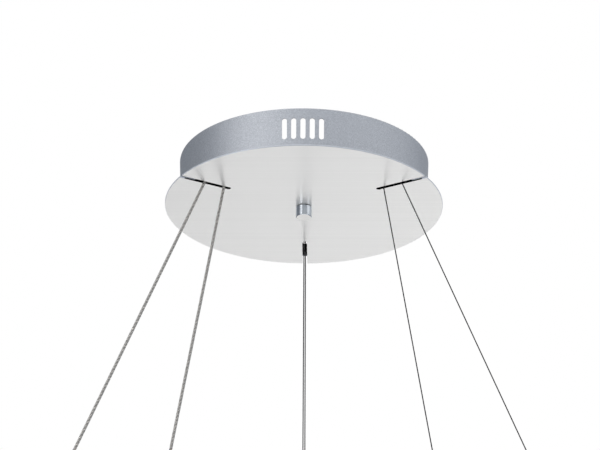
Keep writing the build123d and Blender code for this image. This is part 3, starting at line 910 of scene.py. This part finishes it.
# %% Sink the driver's slots
speck_size = 0.000005  # a cutter that just meets a ring of the dome leaves shorter edges
drive_height = calc(turner, "MULTIPLY", turner_in["Drive Depth"], 2.0)
lift = vector_from(turner, z=turner_in["Drive Level"])
cutters = []
for across, along in (("Drive Length", "Drive Width"), ("Drive Width", "Drive Length")):
    size = vector_from(turner, x=turner_in[across], y=turner_in[along], z=drive_height)
    block = {"Geometry": output_of(turner, "GeometryNodeMeshCube", {"Size": size}), "Offset": lift}
    cutters.append(output_of(turner, "GeometryNodeSetPosition", block))
crossed = {"Switch": turner_in["Cross Drive"], "True": cutters[1]}
second = output_of(turner, "GeometryNodeSwitch", crossed, input_type="GEOMETRY")
sunk = add_node(
    turner, "GeometryNodeMeshBoolean", {"Mesh 1": closed}, operation="DIFFERENCE", solver="EXACT"
)
for cutter in (cutters[0], second):
    turner.links.new(cutter, sunk.inputs["Mesh 2"])
has_drive = calc(turner, "GREATER_THAN", turner_in["Drive Depth"], 0.0)
specks = {"Geometry": sunk.outputs["Mesh"], "Distance": speck_size}
neat = output_of(turner, "GeometryNodeMergeByDistance", specks)
either = {"Switch": has_drive, "False": closed, "True": neat}
driven = output_of(turner, "GeometryNodeSwitch", either, input_type="GEOMETRY")
print("driver's slots:", len(turner.nodes), "nodes so far")

# %% Shade the shape and copy it to its places
crisp_angle = math.radians(32)
golden_angle = 2.4
smooth = output_of(turner, "GeometryNodeSetShadeSmooth", {"Geometry": driven})
bend = add_node(turner, "GeometryNodeInputMeshEdgeAngle").outputs["Unsigned Angle"]
sharp = calc(turner, "GREATER_THAN", bend, crisp_angle)
edges = {"Geometry": smooth, "Selection": sharp, "Shade Smooth": False}
crisp = output_of(turner, "GeometryNodeSetShadeSmooth", edges, domain="EDGE")
index = output_of(turner, "GeometryNodeInputIndex")
heading = vector_from(turner, z=calc(turner, "MULTIPLY", index, golden_angle))
placed = {"Points": places, "Instance": crisp, "Rotation": heading}
copies = output_of(turner, "GeometryNodeInstanceOnPoints", placed)
real = output_of(turner, "GeometryNodeRealizeInstances", {"Geometry": copies})
give(turner, turner_out["Fasteners"], finished(turner, real, turner_in["Finish"]))
print("fastener tree:", len(turner.nodes), "nodes")

# %% [markdown]
# The outlines below run from the bottom of the axis, out and up the side, and back to the axis at the
# top, in millimetres above each fastener's lowest point. That order makes the faces point outwards. A
# third number marks the threaded stretch. They are functions of the length alone, which is read from
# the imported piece, so a fastener always fills its own place.

# %% Threads and rounded heads
rings_per_turn = 4
dome_steps = 5
coarse_pitch, fine_pitch, earth_pitch = 1.3, 1.0, 0.7


def threaded(low, high, radius, pitch):
    """Rings close enough together for the thread to read."""
    count = round((high - low) / pitch * rings_per_turn)
    return [(radius, low + (high - low) * i / count, 1.0) for i in range(count + 1)]


def rounded(radius, low, high, inner):
    """A quarter round from the side at low to the top at high, ending at the inner radius."""
    steps = [math.pi / 2 * i / dome_steps for i in range(dome_steps + 1)]
    return [(inner + (radius - inner) * math.cos(a), low + (high - low) * math.sin(a)) for a in steps]


print("thread pitches:", coarse_pitch, fine_pitch, earth_pitch, "mm")

# %% Outlines of screws and rivets
def pan_screw(length):
    """Self-cutting screw: a point, a coarse thread and a rounded head 7 wide and 2 high."""
    head, shank = 3.5, 1.75
    seat = length - 2.0
    point = [(0.0, 0.0), (0.35, 0.1), (1.5, 1.6)]
    thread = threaded(1.7, seat - 0.3, shank, coarse_pitch)
    dome = rounded(head, seat + 0.8, length, 2.3)
    return point + thread + [(shank, seat), (head, seat)] + dome + [(0.0, length)]


def slotted_screw(length):
    """Short clamping screw with a bevelled rim."""
    side, bevel = 1.8, 0.35
    return [(0.0, 0.0), (side, 0.0), (side, length - bevel), (side - bevel, length), (0.0, length)]


def rivet(length):
    """Blind rivet: swollen tail, shank, domed head with the dimple its mandrel leaves."""
    head, shank = 4.0, 2.0
    seat = length - 1.2
    tail = [(0.0, 0.0), (1.5, 0.0), (2.2, 0.35), (2.5, 1.1), (2.35, 1.9), (shank, 2.5)]
    dome = rounded(head, seat + 0.25, length, 1.15)
    dimple = [(0.95, length - 0.35), (0.0, length - 0.4)]
    return tail + [(shank, seat), (head, seat)] + dome + dimple


print("a 10 mm pan screw has", len(pan_screw(10)), "rings, a rivet", len(rivet(10)))

# %% Outlines of studs
def threaded_stud(length):
    """Stud 6 wide with both ends bevelled."""
    side, end, bevel = 3.0, 2.4, 0.6
    thread = threaded(bevel, length - bevel, side, fine_pitch)
    return [(0.0, 0.0), (end, 0.0)] + thread + [(end, length), (0.0, length)]


def collared_stud(length):
    """Stud welded by the collar at its top, with the weld's fillet under the collar."""
    side, end, bevel, collar = 3.0, 2.4, 0.6, 5.5
    neck = length - 1.5
    thread = threaded(bevel, neck - 2.0, side, fine_pitch)
    weld = [(3.2, neck - 1.2), (3.6, neck - 0.5), (4.4, neck - 0.1), (collar, neck)]
    top = [(collar, length), (0.0, length)]
    return [(0.0, 0.0), (end, 0.0)] + thread + [(side, neck - 1.6)] + weld + top


def earth_stud(length):
    """Screw with its flat head below and its thread standing up."""
    side, end = 2.0, 1.5
    head = [(0.0, 0.0), (3.2, 0.0), (3.8, 0.3), (4.0, 0.8), (4.0, 2.4), (side, 2.4)]
    return head + threaded(2.6, length - 0.5, side, earth_pitch) + [(end, length), (0.0, length)]


print("a 30 mm threaded stud has", len(threaded_stud(30)), "rings")

# %% Outline of a nut
def hexagon_nut(flats, bore):
    """Nut with its corners turned off at both ends and its bore countersunk."""
    slope = math.tan(math.radians(30))
    steps = 4
    sink = 0.4
    corner = flats / math.sqrt(3)
    face = flats * 0.475
    hole = bore / 2
    lip = hole + sink

    def nut_outline(length):
        bevel = [(corner - face) * i / steps for i in range(steps + 1)]
        below = [(face + out, out * slope) for out in bevel]
        above = [(r, length - z) for r, z in reversed(below)]
        inside = [(lip, length), (hole, length - sink), (hole, sink), (lip, 0.0)]
        return [(lip, 0.0)] + below + above + inside

    return nut_outline


print("a 5 mm nut has", len(hexagon_nut(10.0, 6.0)(5)), "rings")

# %% [markdown]
# The table says which outline each packed fastener gets. Where the copies go isn't written down: each
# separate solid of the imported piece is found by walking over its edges, and its box gives the place.

# %% What each fastener is
cross_drive = {"Drive Length": 4.0, "Drive Width": 0.9, "Drive Depth": 1.1, "Cross Drive": True}
slot_drive = {"Drive Length": 5.0, "Drive Width": 0.7, "Drive Depth": 0.8}
self_cutting = {"Pitch": coarse_pitch, "Thread Depth": 0.4, **cross_drive}
fine_thread = {"Pitch": fine_pitch, "Thread Depth": 0.35}
earth_thread = {"Pitch": earth_pitch, "Thread Depth": 0.3}
# node: outline, its slot, what else the tree needs, in millimetres
fasteners = {
    "driver_screws": (pan_screw, "zinc_steel", self_cutting),
    "block_screws": (pan_screw, "zinc_steel", self_cutting),
    "clamp_screws": (pan_screw, "zinc_steel", self_cutting),
    "terminal_screws": (slotted_screw, "brass", slot_drive),
    "channel_rivets": (rivet, "zinc_steel", {}),
    "hanger_studs": (collared_stud, "zinc_steel", fine_thread),
    "hanger_nuts": (hexagon_nut(10.0, 6.0), "zinc_steel", {"Flats": 10.0}),
    "cover_stud": (threaded_stud, "zinc_steel", fine_thread),
    "cover_stud_nuts": (hexagon_nut(10.0, 6.0), "zinc_steel", {"Flats": 10.0}),
    "earth_screw": (earth_stud, "brass", earth_thread),
    "earth_nut": (hexagon_nut(7.0, 4.0), "brass", {"Flats": 7.0}),
}
print(len(fasteners), "kinds of fastener")

# %% Find each separate solid of a piece
def solids_of(node):
    """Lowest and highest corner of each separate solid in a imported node, in a fixed order."""
    mesh = bmesh.new()
    mesh.from_mesh(node.data)
    bmesh.ops.remove_doubles(mesh, verts=mesh.verts, dist=seam_gap)
    waiting = set(mesh.verts)
    found = []
    for vertex in mesh.verts:
        if vertex not in waiting:
            continue
        waiting.discard(vertex)
        reached = [vertex]
        for at_vertex in reached:
            near = {edge.other_vert(at_vertex) for edge in at_vertex.link_edges} & waiting
            waiting -= near
            reached.extend(near)
        spots = [v.co for v in reached]
        low = Vector([min(spot[i] for spot in spots) for i in range(3)])
        high = Vector([max(spot[i] for spot in spots) for i in range(3)])
        found.append((low, high))
    mesh.free()
    return sorted(found, key=lambda box: tuple(round(c, 5) for c in box[0]))


print("rivets found:", len(solids_of(nodes["channel_rivets"])))

# %% Make the fasteners
def outline_and_places(corners, spots):
    """The mesh that the tree reads: the outline's points, then the places."""
    base = bpy.data.meshes.new("outline")
    base.from_pydata([(r / 1000, 0, z / 1000) for r, z, thread in corners] + spots, [], [])
    marks = {
        "place": [0.0] * len(corners) + [1.0] * len(spots),
        "thread": [thread for r, z, thread in corners] + [0.0] * len(spots),
    }
    for mark, values in marks.items():
        base.attributes.new(mark, "FLOAT", "POINT").data.foreach_set("value", values)
    return base


for name, (outline_of, slot_name, sizes_mm) in fasteners.items():
    solids = solids_of(nodes[name])
    length = (solids[0][1].z - solids[0][0].z) * 1000
    corners = [(*point, 0.0)[:3] for point in outline_of(length)]
    spots = [((low.x + high.x) / 2, (low.y + high.y) / 2, low.z) for low, high in solids]
    piece = bpy.data.objects.new(f"turned_{name}", outline_and_places(corners, spots))
    scene.collection.objects.link(piece)
    values = {socket: v if isinstance(v, bool) else v / 1000 for socket, v in sizes_mm.items()}
    run_tree(piece, turner, {**values, "Drive Level": length / 1000, "Finish": finishes[slot_name]})
    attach(piece, "canopy")
    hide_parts(name)
    print(piece.name, len(solids), "pieces,", len(piece.data.polygons), "faces")
